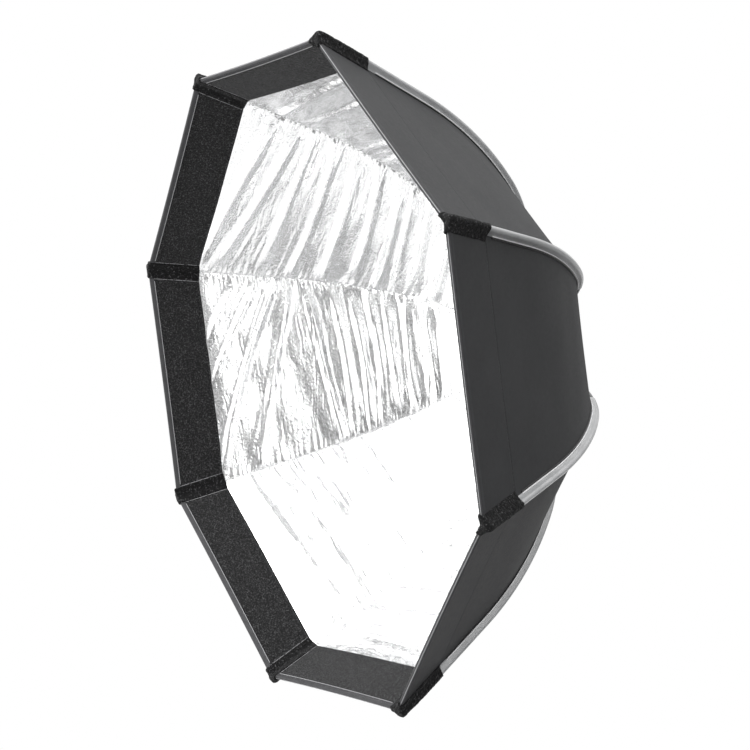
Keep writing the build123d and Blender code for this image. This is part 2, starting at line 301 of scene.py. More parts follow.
def joined(parts):
    """Several (points, faces) as one."""
    points, faces, start = [], [], 0
    for part_points, part_faces in parts:
        points.append(np.asarray(part_points).reshape(-1, 3))
        faces.extend([[start + i for i in f] for f in part_faces])
        start += len(points[-1])
    return np.concatenate(points), faces


def fix_normals(piece):
    """Turns every face outward."""
    work = bmesh.new()
    work.from_mesh(piece.data)
    bmesh.ops.recalc_face_normals(work, faces=work.faces)
    work.to_mesh(piece.data)
    work.free()


def stitch(centre, along, up, length=0.0022, width=0.00055, height=0.00035):
    """One thread stitch lying on a surface: a slim body with pointed ends."""
    along = unit(along)
    up = unit(up - (up @ along) * along)
    side = np.cross(along, up)
    ring = [
        centre + side * width / 2 * cos(a) + up * height * (0.35 + 0.65 * sin(a))
        for a in np.linspace(0, 2 * pi, 6, endpoint=False)
    ]
    points = [centre - along * length / 2, *ring, centre + along * length / 2]
    faces = []
    for i in range(6):
        k = (i + 1) % 6
        faces += [[0, 1 + k, 1 + i], [7, 1 + i, 1 + k]]
    return np.array(points), faces


def stitch_row(path, up, pitch=0.0032, **sizes):
    """Stitches along a path of close points, with the surface's outward direction at each."""
    path, up = np.asarray(path), np.asarray(up)
    steps = np.linalg.norm(np.diff(path, axis=0), axis=1)
    run = np.concatenate([[0], np.cumsum(steps)])

    def at(place, values):
        return np.array([np.interp(place, run, values[:, k]) for k in range(3)])

    parts = []
    for place in np.arange(pitch / 2, run[-1], pitch):
        along = at(place + pitch / 4, path) - at(place - pitch / 4, path)
        parts.append(stitch(at(place, path), along, at(place, up), **sizes))
    return parts


def on_rib(piece, rib, slot, *nodes, keep=1):
    """The piece rides on a rib's body and hides the CAD nodes it replaces; a keep below 1 only gives it its
    own mesh.
    """
    if keep < 1:
        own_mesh(piece)
    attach(piece, f"rib_{rib}")
    if nodes:
        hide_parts(*nodes)
    return piece


# ---- materials

wave_scale = 0.314159265  # pi / 10: with this Scale a wave texture repeats every metre


class Nodes:
    """Short ways to add nodes to a tree and join them."""

    def __init__(self, tree):
        self.tree = tree

    def node(self, kind, **settings):
        """A node with its own settings, or its inputs' values, named with _ for each space."""
        made = self.tree.nodes.new(kind)
        for key, value in settings.items():
            if hasattr(made, key):
                setattr(made, key, value)
            else:
                made.inputs[key.replace("_", " ")].default_value = value
        return made

    def join(self, source, target):
        """Joins a socket to an input, or sets the input to a number or a colour."""
        if isinstance(source, (int, float)):
            target.default_value = source
        elif isinstance(source, tuple):
            target.default_value = (*source, 1)
        else:
            self.tree.links.new(source, target)

    def maths(self, operation, first, second):
        made = self.node("ShaderNodeMath", operation=operation)
        self.join(first, made.inputs[0])
        self.join(second, made.inputs[1])
        return made.outputs[0]

    def spread(self, source, low, high, **settings):
        """A source that runs from 0 to 1, or over From_Min to From_Max, spread from low to high."""
        made = self.node("ShaderNodeMapRange", To_Min=low, To_Max=high, **settings)
        self.join(source, made.inputs["Value"])
        return made.outputs["Result"]

    def place(self, scale=(1, 1, 1), cloth=False):
        """Coordinates in metres: the row frame, or the cloth's own directions."""
        source = self.node("ShaderNodeTexCoord").outputs["UV" if cloth else "Object"]
        mapping = self.node("ShaderNodeMapping", Scale=scale)
        self.join(source, mapping.inputs["Vector"])
        return mapping.outputs["Vector"]

    def noise(self, size, detail=3, place=None, rough=0.5, distortion=0.0, **settings):
        """Noise whose lumps are about size metres apart."""
        settings.update(Scale=1 / size, Detail=detail, Roughness=rough, Distortion=distortion)
        made = self.node("ShaderNodeTexNoise", **settings)
        self.join(place or self.place(), made.inputs["Vector"])
        return made.outputs["Fac"]

    def bands(self, size, direction="X", place=None, distortion=0.0, detail=0, **settings):
        """Parallel ridges, size metres from one to the next."""
        settings.update(Scale=wave_scale / size, Detail=detail, Distortion=distortion)
        made = self.node("ShaderNodeTexWave", bands_direction=direction, **settings)
        self.join(place or self.place(), made.inputs["Vector"])
        return made.outputs["Fac"]

    def ramp(self, source, *stops):
        """Grey or coloured stops, as (position, value)."""
        made = self.node("ShaderNodeValToRGB")
        elements = made.color_ramp.elements
        while len(elements) < len(stops):
            elements.new(0.5)
        for element, (position, value) in zip(elements, stops):
            element.position = position
            element.color = (*value, 1) if hasattr(value, "__len__") else (value, value, value, 1)
        self.join(source, made.inputs["Fac"])
        return made.outputs["Color"]

    def mix(self, first, second, share):
        """Two colours mixed by a share that may be a socket."""
        made = self.node("ShaderNodeMix", data_type="RGBA")
        for source, index in ((first, 6), (second, 7), (share, 0)):
            self.join(source, made.inputs[index])
        return made.outputs[2]


looks = {}


class Look(Nodes):
    """A material built from nodes, kept in looks under its name."""

    def __init__(self, name, color, roughness, metallic=0.0):
        self.material = bpy.data.materials.new(name)
        self.material.use_nodes = True
        self.material.diffuse_color = (*color, 1)
        super().__init__(self.material.node_tree)
        self.shader = self.tree.nodes["Principled BSDF"]
        self.let(Base_Color=(*color, 1), Roughness=roughness, Metallic=metallic)
        self.height = None
        looks[name] = self.material

    def let(self, **values):
        """Sets inputs of the shader, named with _ for each space."""
        for key, value in values.items():
            self.shader.inputs[key.replace("_", " ")].default_value = value

    def color(self, socket):
        self.join(socket, self.shader.inputs["Base Color"])

    def roughness(self, source, low, high):
        self.join(self.spread(source, low, high), self.shader.inputs["Roughness"])

    def bump(self, source, depth, strength=1.0):
        """Raises the surface by up to depth metres where source is 1."""
        made = self.node("ShaderNodeBump", Strength=strength, Distance=depth)
        self.join(source, made.inputs["Height"])
        if self.height is not None:
            self.join(self.height, made.inputs["Normal"])
        self.height = made.outputs["Normal"]
        self.join(self.height, self.shader.inputs["Normal"])

    def sheen(self, weight, roughness):
        self.let(Sheen_Weight=weight, Sheen_Roughness=roughness, Sheen_Tint=(1, 1, 1, 1))


def black_nylon():
    look = Look("black_nylon", (0.052, 0.053, 0.056), 0.5)
    cloth = look.place(cloth=True)
    warp = look.bands(0.00055, "X", cloth, distortion=0.4)
    weft = look.bands(0.00048, "Y", cloth, distortion=0.4)
    weave = look.maths("MULTIPLY", warp, weft)
    mottle = look.noise(0.05, 3)
    shade = look.ramp(mottle, (0.3, (0.027, 0.0275, 0.029)), (0.7, (0.033, 0.0335, 0.035)))
    look.color(look.mix(shade, (0.018, 0.0185, 0.020), look.maths("MULTIPLY", weave, 0.35)))
    look.roughness(look.noise(0.004, 2), 0.50, 0.62)
    look.let(Specular_IOR_Level=0.25)
    look.bump(look.noise(0.03, 3), 0.0004, 0.5)
    look.bump(weave, 0.00006, 0.6)


def silver_lining():
    look = Look("silver_lining", (0.91, 0.913, 0.916), 0.25, 0.94)
    cloth = look.place(cloth=True)
    wide = look.ramp(look.noise(0.012, 4), (0.3, (0.88, 0.883, 0.886)), (0.7, (0.95, 0.952, 0.955)))
    fine = look.ramp(look.noise(0.0017, 3, rough=0.7), (0.36, 0.55), (0.54, 0.0))
    # Painted shade: thin darker lines along the crinkles, where the creases would fall into shade.
    crease_shade_noise = look.noise(0.006, 5, rough=0.6, distortion=1.5)
    painted_crease_shade = look.ramp(crease_shade_noise, (0.48, 0.0), (0.5, 0.40), (0.52, 0.0))
    shade = look.mix(wide, (0.38, 0.382, 0.385), fine)
    look.color(look.mix(shade, (0.42, 0.422, 0.425), painted_crease_shade))
    look.roughness(look.noise(0.006, 4, rough=0.6), 0.16, 0.28)
    ridged = {"noise_type": "RIDGED_MULTIFRACTAL", "normalize": True}
    streaks = look.noise(0.0060, 3, look.place(scale=(0.22, 1, 1), cloth=True), 0.5, 0.6, **ridged)
    crinkle = look.noise(0.0060, 4, rough=0.55, distortion=1.2, **ridged)
    threads = look.maths("MULTIPLY", look.bands(0.0009, "X", cloth), look.bands(0.0009, "Y", cloth))
    look.bump(streaks, 0.0030, 0.26)
    look.bump(crinkle, 0.0024, 0.16)
    look.bump(threads, 0.00005, 0.5)


def black_loop():
    look = Look("black_loop", (0.016, 0.016, 0.017), 0.85)
    loops = look.noise(0.0015, 4, rough=0.72)
    fuzz = look.noise(0.0060, 3, rough=0.6)
    # Painted shade and highlight: the hollows between loops are painted darker and the loop tips lighter,
    # from the same noise that raises the bump.
    hollow_shade, middle, tip_highlight = (0.002, 0.002, 0.0022), (0.011, 0.011, 0.0115), (0.075, 0.075, 0.077)
    shade = look.ramp(loops, (0.40, hollow_shade), (0.52, middle), (0.66, tip_highlight))
    look.color(look.mix(shade, (0.006, 0.006, 0.0063), look.ramp(fuzz, (0.35, 0.35), (0.65, 0.0))))
    look.let(Specular_IOR_Level=0.2)
    look.bump(loops, 0.0014, 0.9)
    look.sheen(0.10, 0.35)


def black_pile():
    look = Look("black_pile", (0.012, 0.012, 0.013), 0.9)
    tufts = look.noise(0.0020, 4, rough=0.72)
    # Painted shade and highlight: the hollows between tufts are painted darker and the tuft tips lighter,
    # from the same noise that raises the bump.
    hollow_shade, middle, tip_highlight = (0.0015, 0.0015, 0.0017), (0.007, 0.007, 0.0075), (0.11, 0.11, 0.112)
    look.color(look.ramp(tufts, (0.44, hollow_shade), (0.58, middle), (0.68, tip_highlight)))
    look.let(Specular_IOR_Level=0.2)
    look.bump(tufts, 0.0018, 1.0)
    look.sheen(0.06, 0.3)


def grey_webbing():
    look = Look("grey_webbing", (0.32, 0.325, 0.33), 0.30)
    cloth = look.place(cloth=True)
    ends = look.bands(0.0008, "Y", cloth, distortion=0.3)
    picks = look.bands(0.0006, "X", cloth, distortion=0.3)
    weave = look.maths("MULTIPLY", ends, picks)
    shade = look.ramp(look.noise(0.02, 3), (0.3, (0.30, 0.305, 0.31)), (0.7, (0.40, 0.405, 0.41)))
    look.color(look.mix(shade, (0.13, 0.13, 0.135), look.maths("MULTIPLY", weave, 0.45)))
    look.let(Coat_Weight=1.0, Coat_Roughness=0.15)
    look.bump(weave, 0.00012, 0.8)
    look.sheen(0.3, 0.3)


def binding_tape():
    look = Look("black_nylon_binding", (0.03, 0.03, 0.032), 0.5)
    cloth = look.place(cloth=True)
    ribs_across = look.bands(0.0007, "X", cloth)
    shade = look.ramp(look.noise(0.01, 3), (0.3, (0.026, 0.026, 0.028)), (0.7, (0.040, 0.040, 0.043)))
    look.color(look.mix(shade, (0.012, 0.012, 0.013), look.maths("MULTIPLY", ribs_across, 0.5)))
    look.let(Specular_IOR_Level=0.3)
    look.bump(ribs_across, 0.00012, 0.8)


def thread(name, color):
    look = Look(name, color, 0.55)
    twist = look.bands(0.00035, "DIAGONAL")
    look.color(look.mix(color, tuple(0.45 * c for c in color), look.maths("MULTIPLY", twist, 0.6)))
    look.bump(twist, 0.00008, 0.7)
    look.sheen(0.3, 0.4)


def rod_black():
    look = Look("rod_black", (0.02, 0.02, 0.021), 0.22)
    scuffs = look.noise(0.0015, 4, look.place(scale=(1, 0.12, 1)))
    look.color(look.ramp(scuffs, (0.35, (0.014, 0.014, 0.015)), (0.75, (0.035, 0.035, 0.037))))
    look.roughness(scuffs, 0.16, 0.34)
    look.let(Coat_Weight=0.5)
    look.bump(scuffs, 0.00005, 0.5)


def moulded(name, low, high, grain=0.0009, roughness=(0.42, 0.58)):
    look = Look(name, low, roughness[0])
    fine = look.noise(grain, 4, rough=0.6)
    wear = look.noise(0.012, 4)
    look.color(look.mix(low, high, look.ramp(wear, (0.35, 0.0), (0.75, 1.0))))
    look.roughness(fine, *roughness)
    look.bump(fine, 0.00012, 0.7)


def turned_metal(name, low, high, roughness, metallic, groove=0.0009):
    """Metal turned about the optical axis, with fine rings and a soft variation."""
    look = Look(name, low, roughness[0], metallic)
    rings = look.bands(groove, distortion=0.6, detail=3, wave_type="RINGS", rings_direction="Y")
    wear = look.noise(0.01, 4)
    look.color(look.mix(low, high, look.ramp(wear, (0.35, 0.0), (0.7, 1.0))))
    look.roughness(look.noise(0.003, 4), *roughness)
    look.bump(rings, 0.00004, 0.5)


def plated_steel():
    look = Look("steel", (0.5, 0.5, 0.51), 0.3, 1.0)
    grain = look.noise(0.0008, 4)
    look.color(look.ramp(look.noise(0.003, 3), (0.3, (0.42, 0.42, 0.43)), (0.7, (0.6, 0.6, 0.61))))
    look.roughness(grain, 0.24, 0.42)
    look.bump(grain, 0.00004, 0.6)


for make in (black_nylon, silver_lining, black_loop, black_pile, grey_webbing, rod_black):
    make()
moulded("lever_plastic", (0.022, 0.022, 0.023), (0.04, 0.04, 0.042))
turned_metal("hub_black", (0.02, 0.02, 0.022), (0.035, 0.035, 0.038), (0.3, 0.45), 0.6)
turned_metal("bayonet_metal", (0.6, 0.61, 0.63), (0.72, 0.73, 0.74), (0.22, 0.4), 1.0)
moulded("runner_plastic", (0.03, 0.03, 0.031), (0.05, 0.05, 0.052), 0.0012)
moulded("grip_rubber", (0.014, 0.014, 0.0145), (0.028, 0.028, 0.029), 0.0006, (0.7, 0.85))
plated_steel()
binding_tape()
# Near-black thread for the painted shadow line beside each tunnel's foot.
thread("seam_painted_shadow", (0.006, 0.006, 0.0065))
# Near-white thread for the piping, kept bright as a painted highlight line.
thread("piping_painted_highlight", (0.86, 0.86, 0.87))
# Light grey thread for the painted highlights along the binding's and the pockets' edges.
thread("edge_highlight_cord", (0.30, 0.30, 0.31))
thread("dark_thread", (0.012, 0.012, 0.0125))
thread("grey_thread", (0.36, 0.36, 0.37))
thread("silver_thread", (0.7, 0.7, 0.71))

for part in frame["record"]["subparts"]:
    shown = frame["nodes"][part["node"]]
    shown.data.materials.clear()
    shown.data.materials.append(looks[part["material_slot"]])


# ---- outer cloth

facing_thickness = 0.0007
groove_depth, groove_width = 0.0010, 0.0009


def waves(seed, count, turns, sizes, s, across):
    """Waves that run in different directions over the cloth, as a list of (size, wave)."""
    rng = np.random.default_rng(seed)
    found = []
    for _ in range(count):
        turn, phase = rng.uniform(-turns, turns), rng.uniform(0, 2 * pi)
        size = rng.uniform(*sizes)
        found.append((size, np.sin(2 * pi * (s * cos(turn) + across * sin(turn)) / size + phase)))
    return found


def outer_relief(panel, s, v):
    """The nylon lies taut: a doubled facing at the rim, a stitched groove, and soft undulations."""
    facing = facing_thickness * (1 - smooth(s, facing_seam - 0.0012, facing_seam + 0.0002))
    groove = -groove_depth * np.exp(-(((s - facing_seam - 0.0004) / groove_width) ** 2))
    found = waves(40 + panel, 6, 0.5, (0.05, 0.12), s, half_width(s) * v)
    soft = 0.00010 * sum(wave for _, wave in found) * (1 - v**4)
    return facing + groove + soft * smooth(s, facing_seam, 0.10) * (1 - smooth(s, 0.30, root_s))


def outer_back(panel, s, v):
    return outer_relief(panel, s, v) - cloth_thickness


near_seam, past_seam = facing_seam - 0.003, facing_seam + 0.003
spans = ((rim_edge, near_seam, 16), (near_seam, past_seam, 15), (past_seam, root_s, 90))
outer_stations = np.unique(np.concatenate([np.linspace(*span) for span in spans]))
outer_across = np.linspace(0, 1, 26)


# The cloth between two ribs, meant to lie slack behind the cloth once the ribs fold, which this script
# doesn't do: where each strip begins and ends behind the rim, and how much of its width it keeps.
tuck_strips = [(0.120, 0.190, 0.41), (0.180, 0.250, 0.52), (0.240, 0.300, 0.67)]
tuck_strips.append((0.290, root_s - 0.001, 0.88))
tuck_front, tuck_back = -0.0008, -0.0011


def level(lift):
    """A face of a sheet that lies at one lift."""
    return lambda panel, s, v: lift + 0 * s


def make_tuck(rib, number, first, last):
    """A strip of plain cloth between the nylon and the lining, hidden while the ribs are open."""
    stations, across = np.linspace(first, last, 22), np.linspace(0, 1, 16)
    front, back = level(tuck_front), level(tuck_back)
    return rib_sheet(f"tuck_{rib}_{number}", rib, stations, across, front, back, looks["black_nylon"])


# ---- silver lining


# The main folds of each panel: their s in millimetres at the rib of its number and at the next.
main_folds = {
    1: [(80, 95), (112, 125), (140, 158), (172, 185), (206, 215), (240, 246), (280, 280)],
    2: [(60, 90), (100, 118), (128, 152), (165, 176), (198, 206), (228, 236), (270, 270)],
    3: [(88, 46), (112, 66), (131, 116), (154, 150), (181, 184), (206, 218), (234, 247), (252, 268),
        (270, 292), (300, 315)],
    4: [(98, -40), (118, -6), (136, 46), (150, 92), (168, 190), (195, 205), (216, 222), (236, 240),
        (256, 260), (280, 280), (305, 305)],
    5: [(75, 100), (104, 124), (138, 150), (170, 182), (204, 212), (244, 240), (280, 280)],
    6: [(82, 74), (110, 112), (142, 150), (178, 180), (210, 215), (246, 248), (290, 290)],
    7: [(76, 90), (108, 116), (146, 142), (176, 184), (214, 210), (250, 246), (290, 290)],
    8: [(84, 78), (116, 108), (144, 150), (180, 176), (212, 216), (248, 244), (280, 280)],
}

# How strongly each panel is folded.
fold_strength = {1: 0.7, 2: 1.4, 3: 1.45, 4: 1.25, 5: 0.35, 6: 0.55, 7: 0.7, 8: 0.7}


def fold_table(panel):
    """The tension folds of one panel: the main ones, and short fine ones that start at the seams.

    A fold is (near, far, bend, width, height, start, end): its s at the panel's two ribs, how far
    it bends between them, its size, and the share of the panel's width where it starts and ends.
    """
    rng = np.random.default_rng(700 + panel)
    draw = rng.uniform
    main = np.array(main_folds[panel]) / 1000
    folds = []
    for near, far in main:
        size = draw(-0.005, 0.005), draw(0.0070, 0.0115), draw(0.0024, 0.0042)
        folds.append((near, far, *size, draw(-0.20, 0.02), draw(0.98, 1.20)))
    for _ in range(80):
        place = draw(0, len(main) - 1)
        near, far = (np.interp(place, range(len(main)), side) for side in main.T)
        reach = draw(0.15, 0.55)
        start = draw(-0.1, 0.05) if rng.random() < 0.5 else draw(0.95, 1.1) - reach
        near, far = near + draw(-0.004, 0.004), far + draw(-0.004, 0.004)
        size = draw(-0.003, 0.003), draw(0.0022, 0.0045), draw(0.0004, 0.0013)
        folds.append((near, far, *size, start, start + reach))
    return folds


fold_tables = {panel: fold_table(panel) for panel in main_folds}


def ridge(offset, width):
    """A ridge with two even sides, 1 at its crest and 0 from width on, with its edges rounded."""
    t = np.clip(np.abs(offset) / width, 0, 1)
    soft = 0.16
    crest = np.where(t < soft, (t * t / soft + soft) / 2, t)
    return np.where(t > 1 - soft, (1 - t) ** 2 / (2 * soft), 1 - crest - soft / 2)


fold_fade = 0.22  # the share of a panel over which a fold rises and dies away
pucker_pitch, pucker_height = 0.0066, 0.0020
lining_sag = 0.0022


def seam_relief(rib, s):
    """How far the lining's seam is pulled in at a rib: small and uneven."""
    phase = 1.7 * rib
    wavy = np.sin(2 * pi * s / 0.043 + phase) + np.sin(2 * pi * s / 0.027 + 2 * phase)
    return 0.0011 + 0.0003 * wavy


def fold_relief(panel, s, q):
    """The tension folds of a panel. q runs across it, from 0 at one rib to 1 at the next."""
    total = 0
    for near, far, bend, width, height, start, end in fold_tables[panel]:
        centre = near * (1 - q) + far * q + bend * 4 * q * (1 - q)
        opened = width * (0.75 + 0.7 * np.abs(q - (start + end) / 2))
        fade = smooth(q, start, start + fold_fade) * (1 - smooth(q, end - fold_fade, end))
        total = total + height * fold_strength[panel] * fade * ridge(s - centre, opened)
    return total


def pucker_relief(panel, s, aside):
    """Short puckers where the lining is gathered into a rib's seam."""
    phase = 2 * pi * s / pucker_pitch + 1.8 * np.sin(2 * pi * s / 0.031 + panel)
    reach = 0.0075 * (1 + 0.5 * np.sin(2 * pi * s / 0.023 + 2 * panel))
    rise = np.exp(-aside / reach) * (1 - np.exp(-aside / 0.0016))
    return pucker_height * rise * (0.5 + 0.5 * np.sin(phase))


def lining_relief(panel, s, v):
    """How far the lining stands in from its flat state."""
    aside = (1 - np.abs(v)) * half_width(s)
    found = waves(900 + panel, 8, 0.6, (0.020, 0.070), s, half_width(s) * v)
    uneven = 0.0040 * sum(size * wave for size, wave in found)
    loose = fold_relief(panel, s, (v + 1) / 2) + uneven + lining_sag * (1 - v * v)
    loose = loose * (1 - np.exp(-aside / 0.006))
    loose = np.maximum(loose + pucker_relief(panel, s, aside), 0)
    rib = np.where(v < 0, panel, panel % rib_count + 1)
    held = seam_relief(rib, s) * np.exp(-aside / 0.02)
    free = smooth(s, 0.046, 0.064) * (1 - smooth(s, root_s - 0.03, root_s))
    return (loose + held) * free


def lining_face(panel, s, v):
    return lining_lift - lining_relief(panel, s, v) - lining_thickness


def lining_back(panel, s, v):
    return lining_lift - lining_relief(panel, s, v)


lining_stations = np.append(np.linspace(0.001, 0.044, 8), np.linspace(0.0455, root_s, 175))
lining_across = np.linspace(0, 1, 48)


# ---- rim: tape and binding


def loop_tape(rib):
    """The loop tape inside the rim, with a rough face and rounded edges."""
    rng = np.random.default_rng(60 + rib)
    stations = np.linspace(0.0008, band_width, 40)
    edge = 0.0012

    def face(panel, s, v):
        nearest = np.minimum(s - stations[0], band_width - s)
        crown = band_thickness * np.sqrt(np.clip(nearest / edge, 0.02, 1))
        rough = rng.normal(0, 0.00011, s.shape) * (nearest > 0.0005)
        return tape_lift - crown + rough * (np.abs(v) < 0.999) * (np.abs(v) > 0.02)

    across = np.linspace(0, 1, 78)
    return rib_sheet(f"loop_tape_{rib}", rib, stations, across, level(tape_lift), face, looks["black_loop"])


def binding_section():
    """The folded tape's outline round the rim, as (s, lift): out over the band and round the edge."""
    leg = 0.0036
    inner = tape_lift - band_thickness
    thick = 0.0004
    high = 0.0004 + thick
    inside = [(leg, inner + 0.0001), (leg, inner - thick), (rim_edge, inner - thick)]
    middle = (inner - thick + high) / 2
    reach = (high - inner + thick) / 2
    turn = [(-0.0016 * sin(a), middle - reach * cos(a)) for a in np.linspace(0.3, pi - 0.3, 7)]
    outside = [(rim_edge, high), (leg, high), (leg, 0.0003), (0.0014, 0.0003), (0.0012, inner + 0.0001)]
    return inside + turn + outside


def binding(rib):
    """The binding round the rim beside one rib, from the middle of a panel to the middle of the next."""
    section = np.array(binding_section())
    outward = np.where(section[:, 1] > 0, 1, -1)
    rings = []
    for side, (panel, v) in enumerate(half_panels(rib, np.linspace(0, 1, 60))):
        v = v[::-1] if side == 0 else v[1:]
        ripple = 0.00006 * np.sin(70 * v + 3 * panel) * (1 - np.abs(v) ** 6)
        lift = section[:, 1] + ripple[:, None] * outward
        rings.append(panel_point(panel, section[:, 0] + 0 * lift, v[:, None] + 0 * lift, lift))
    rings = np.concatenate(rings)
    points, faces = loft(rings)
    along = np.cumsum(np.concatenate([[0], np.linalg.norm(np.diff(rings[:, 0], axis=0), axis=1)]))
    uv = np.stack(np.meshgrid(along, np.arange(len(section)) * 0.001, indexing="ij"), -1)
    return new_piece(f"rim_binding_{rib}", points, faces, looks["black_nylon_binding"], uv)


def panel_row(rib, s, lift, first=0.0, last=1.0, **sizes):
    """Stitches across both half panels beside a rib, at one length s."""
    parts = []
    for panel, v in half_panels(rib, np.linspace(first, last, 60)):
        path = panel_point(panel, s, v, lift)
        out = panel_point(panel, s, v, lift + (0.001 if lift > -0.001 else -0.001)) - path
        parts += stitch_row(path, out, **sizes)
    return parts


def tube(path, radius, sides=6):
    """A slim round cord along a path of points."""
    path = np.asarray(path)
    ahead = unit(np.gradient(path, axis=0))
    first = unit(np.cross(ahead, (0.13, 0.37, 0.92)))
    second = np.cross(ahead, first)
    turn = np.linspace(0, 2 * pi, sides, endpoint=False)
    round_path = [cos(a) * first + sin(a) * second for a in turn]
    return loft(path[:, None] + radius * np.stack(round_path, 1))


# ---- ribs: pockets and tunnels

pocket_half = 0.0090
pocket_crown, tip_crown = 0.0080, 0.0071  # over the rod, and at the rod's tip
pocket_skin = 0.0016
pocket_nose = 0.0019
pocket_inner_length = 0.0535
pocket_edge = 0.0012  # how far in from its edges a pocket is rounded


def corner_fall(s):
    """How steeply the cloth falls away to each side of a rib."""
    return tan(half_step) * np.cos(outline(s)[2])


def pocket_ring(rib, s, turn, aside, end_share):
    """One closed section of a pocket: turn is 0 outside, pi inside, and between round the rim."""
    soft_aside = np.sqrt(aside * aside + pocket_edge**2) - pocket_edge
    base = -corner_fall(s) * soft_aside
    over_rod = smooth(-np.abs(aside), -0.0076, -0.0014)
    edge = np.sqrt(np.clip((pocket_half - np.abs(aside)) / pocket_edge, 0.06, 1)) * end_share
    centre = -rim_layers / 2
    crown = tip_crown + (pocket_crown - tip_crown) * smooth(s, 0.0, 0.03)
    outside = (pocket_skin + (crown - pocket_skin) * over_rod) * edge - centre
    inside = pocket_skin * edge - centre
    nose = (pocket_nose - centre * 0.2) * (0.6 + 0.4 * edge)
    share = sin(turn) ** 2
    reach = (outside if turn < pi / 2 else inside) * (1 - share) + nose * share
    near = -centre * 0.96 + 0 * reach
    rows = []
    for distance, order in ((reach, 1), (near, -1)):
        height = centre + distance * cos(turn) + base
        rows.append(rib_point(rib, s - distance * sin(turn), aside, height)[::order])
    return np.concatenate(rows)


def fullness(left):
    """How full a pocket is, a length left before its end."""
    return sqrt(min(max(left / pocket_edge, 0.05), 1))


def pocket_rings(rib, aside):
    """The sections of a pocket, from its outer end round the rim to its inner end."""
    rings = []
    for s in np.linspace(pocket_length, rim_edge, 70):
        rings.append(pocket_ring(rib, s, 0.0, aside, fullness(pocket_length - s)))
    for turn in np.linspace(0, pi, 15)[1:-1]:
        rings.append(pocket_ring(rib, rim_edge, turn, aside, 1.0))
    for s in np.linspace(rim_edge, pocket_inner_length, 64):
        rings.append(pocket_ring(rib, s, pi, aside, fullness(pocket_inner_length - s)))
    return rings


def corner_pile(rib):
    """The pile pocket that wraps a rib's tip and the corner of the rim, outside and inside."""
    aside = np.linspace(-pocket_half, pocket_half, 27)
    rings = pocket_rings(rib, aside)
    points, faces = loft(rings)
    piece = new_piece(f"corner_pile_{rib}", points, faces, looks["black_pile"], sharp=70)
    fix_normals(piece)
    normals = np.array([v.normal for v in piece.data.vertices])
    shift = np.array([3.1 * rib, 0, 0])
    tufts, lumps = (
        np.array([noise.noise(Vector(p * scale + shift)) for p in points]) for scale in (640, 190)
    )
    outer = np.tile(np.arange(2 * len(aside)) < len(aside), len(rings))
    rough = (0.00040 * tufts + 0.00045 * lumps + 0.0002) * outer
    piece.data.vertices.foreach_set("co", (points + normals * rough[:, None]).ravel())
    piece.data.update()
    return piece


def tunnel_section(slope):
    """The tunnel tape's section, as (aside, height): an arch over the rod and a flat edge each side."""
    fall = tan(half_step) * cos(slope)
    half = [(0.0030 * cos(a), rod_height + 0.0029 * sin(a)) for a in np.linspace(pi / 2, 0, 8)]
    half += [(0.0030, 0.0027), (0.0031, 0.0013), (0.0033, 0.0004 - 0.0033 * fall)]
    half += [(0.0035, 0.0001 - 0.0035 * fall)]
    mirrored = [(-w, h) for w, h in reversed(half[1:])]
    under = [(w, 0.0002 - abs(w) * fall) for w in (0.0020, 0, -0.0020)]
    return mirrored + half + under


tunnel_stations = np.linspace(sleeve_start - 0.004, sleeve_end, 110)


def tunnel_rings(rib):
    """A tunnel's outer sections, its bore's sections, and the outer ones' cloth coordinates."""
    rng = np.random.default_rng(80 + rib)
    window = np.hanning(9)
    ripple = np.convolve(rng.normal(0, 1, len(tunnel_stations)), window / window.sum(), "same")
    around = np.linspace(0, 2 * pi, 16, endpoint=False)
    bore = rod_radius + 0.0003
    outer, inner, uv = [], [], []
    for s, wobble in zip(tunnel_stations, ripple):
        section = np.array(tunnel_section(float(outline(s)[2])))
        outer.append(rib_point(rib, s, section[:, 0] * (1 + 0.02 * wobble), section[:, 1]))
        inner.append(rib_point(rib, s, bore * np.cos(around) * 1.05, rod_height + bore * np.sin(around)))
        along = np.cumsum(np.append(0, np.linalg.norm(np.diff(section, axis=0), axis=1)))
        uv.append(np.stack([np.full(len(along), s), along], -1))
    return outer, inner, uv


def tunnel(rib):
    """The woven tunnel over a rod, from inside the pocket to its cut end."""
    outer, inner, uv = tunnel_rings(rib)
    outer_points, outer_faces = loft(outer, cap=False)
    inner_points, inner_faces = loft(inner, cap=False)
    inner_faces = [f[::-1] for f in inner_faces]
    points, faces = joined([(outer_points, outer_faces), (inner_points, inner_faces)])
    count, bore_count = len(outer[0]), len(inner[0])
    for row, flip in ((0, False), (len(outer) - 1, True)):
        ring = [row * count + j for j in range(count)]
        hole = [len(outer_points) + row * bore_count + j for j in range(bore_count)]
        faces += bridge(points, ring, hole, flip)
    uv = np.concatenate([np.array(uv).reshape(-1, 2), np.zeros((len(inner_points), 2))])
    piece = new_piece(f"rib_tunnel_{rib}", points, faces, looks["grey_webbing"], uv, sharp=50)
    fix_normals(piece)
    return piece


def beside_tunnel(rib, side, aside, height, stations):
    """A line of points on the cloth beside a tunnel."""
    return rib_point(rib, stations, side * aside, height - aside * corner_fall(stations))


def foot_cords(rib, aside, height, radius):
    """A cord along each foot of a tunnel."""
    stations = tunnel_stations[6:]
    return joined([tube(beside_tunnel(rib, side, aside, height, stations), radius) for side in (-1, 1)])


def side_stitches(near, far, **sizes):
    """Stitches along a line at each side of a rib: near and far give points on it and off it."""
    parts = []
    for side in (-1, 1):
        path = near(side)
        parts += stitch_row(path, far(side) - path, **sizes)
    return joined(parts)


